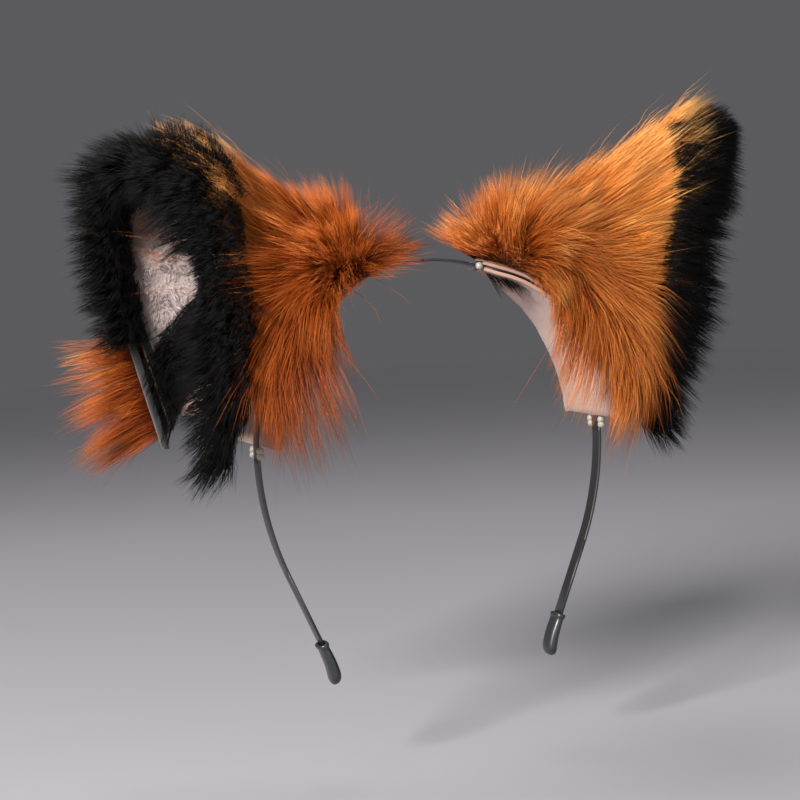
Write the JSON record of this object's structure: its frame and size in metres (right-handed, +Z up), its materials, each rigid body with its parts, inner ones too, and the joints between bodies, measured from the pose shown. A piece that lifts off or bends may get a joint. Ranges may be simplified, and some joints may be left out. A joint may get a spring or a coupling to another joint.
{
  "type": "animal ears headband",
  "caption": "Slim spring-steel headband with upright faux-fur fox-style ears, open to the sides, and soft end caps.",
  "frame": {"origin": "middle of the strip's crown, on the face that rests on the head", "axes": "+X to the wearer's left as seen from the front (across the head), +Y to the back, +Z up"},
  "size_m": [0.2555, 0.0822, 0.2099],
  "materials": {
    "strip_paint": "satin black paint on spring steel",
    "cap_rubber": "smooth black vinyl, semi-gloss",
    "orange_fur": "long rust-orange pile with darker roots and pale tips",
    "black_fur": "dense short black pile",
    "plush_lining": "short pinkish-beige plush",
    "interlining": "plain bonded sheet",
    "thread": "twisted black thread",
    "felt": "matte skin-coloured felt",
    "glue": "translucent hot-melt glue"
  },
  "bodies": {
    "crown": {"crown_strip": "strip_paint"},
    "right_side": {"right_side_strip": "strip_paint", "right_end_cap": "cap_rubber", "right_back_fur": "orange_fur", "right_rim_fur": "black_fur", "right_inner_lining": "plush_lining", "right_stiffener": "interlining", "right_seam_stitches": "thread", "right_outer_felt": "felt", "right_inner_felt": "felt", "right_glue_beads": "glue"},
    "left_side": {"left_side_strip": "strip_paint", "left_end_cap": "cap_rubber", "left_back_fur": "orange_fur", "left_rim_fur": "black_fur", "left_inner_lining": "plush_lining", "left_stiffener": "interlining", "left_seam_stitches": "thread", "left_outer_felt": "felt", "left_inner_felt": "felt", "left_glue_beads": "glue"}
  },
  "joints": [
    {"name": "right_flex", "type": "hinge", "parent": "crown", "child": "right_side", "pos_m": [0.01886, 0, -0.00223], "axis": [0, -1, 0], "range_deg": [0, 12], "stiffness_Nm_per_rad": 0.83},
    {"name": "left_flex", "type": "hinge", "parent": "crown", "child": "left_side", "pos_m": [-0.01886, 0, -0.00223], "axis": [0, 1, 0], "range_deg": [0, 12], "stiffness_Nm_per_rad": 0.83}
  ]
}
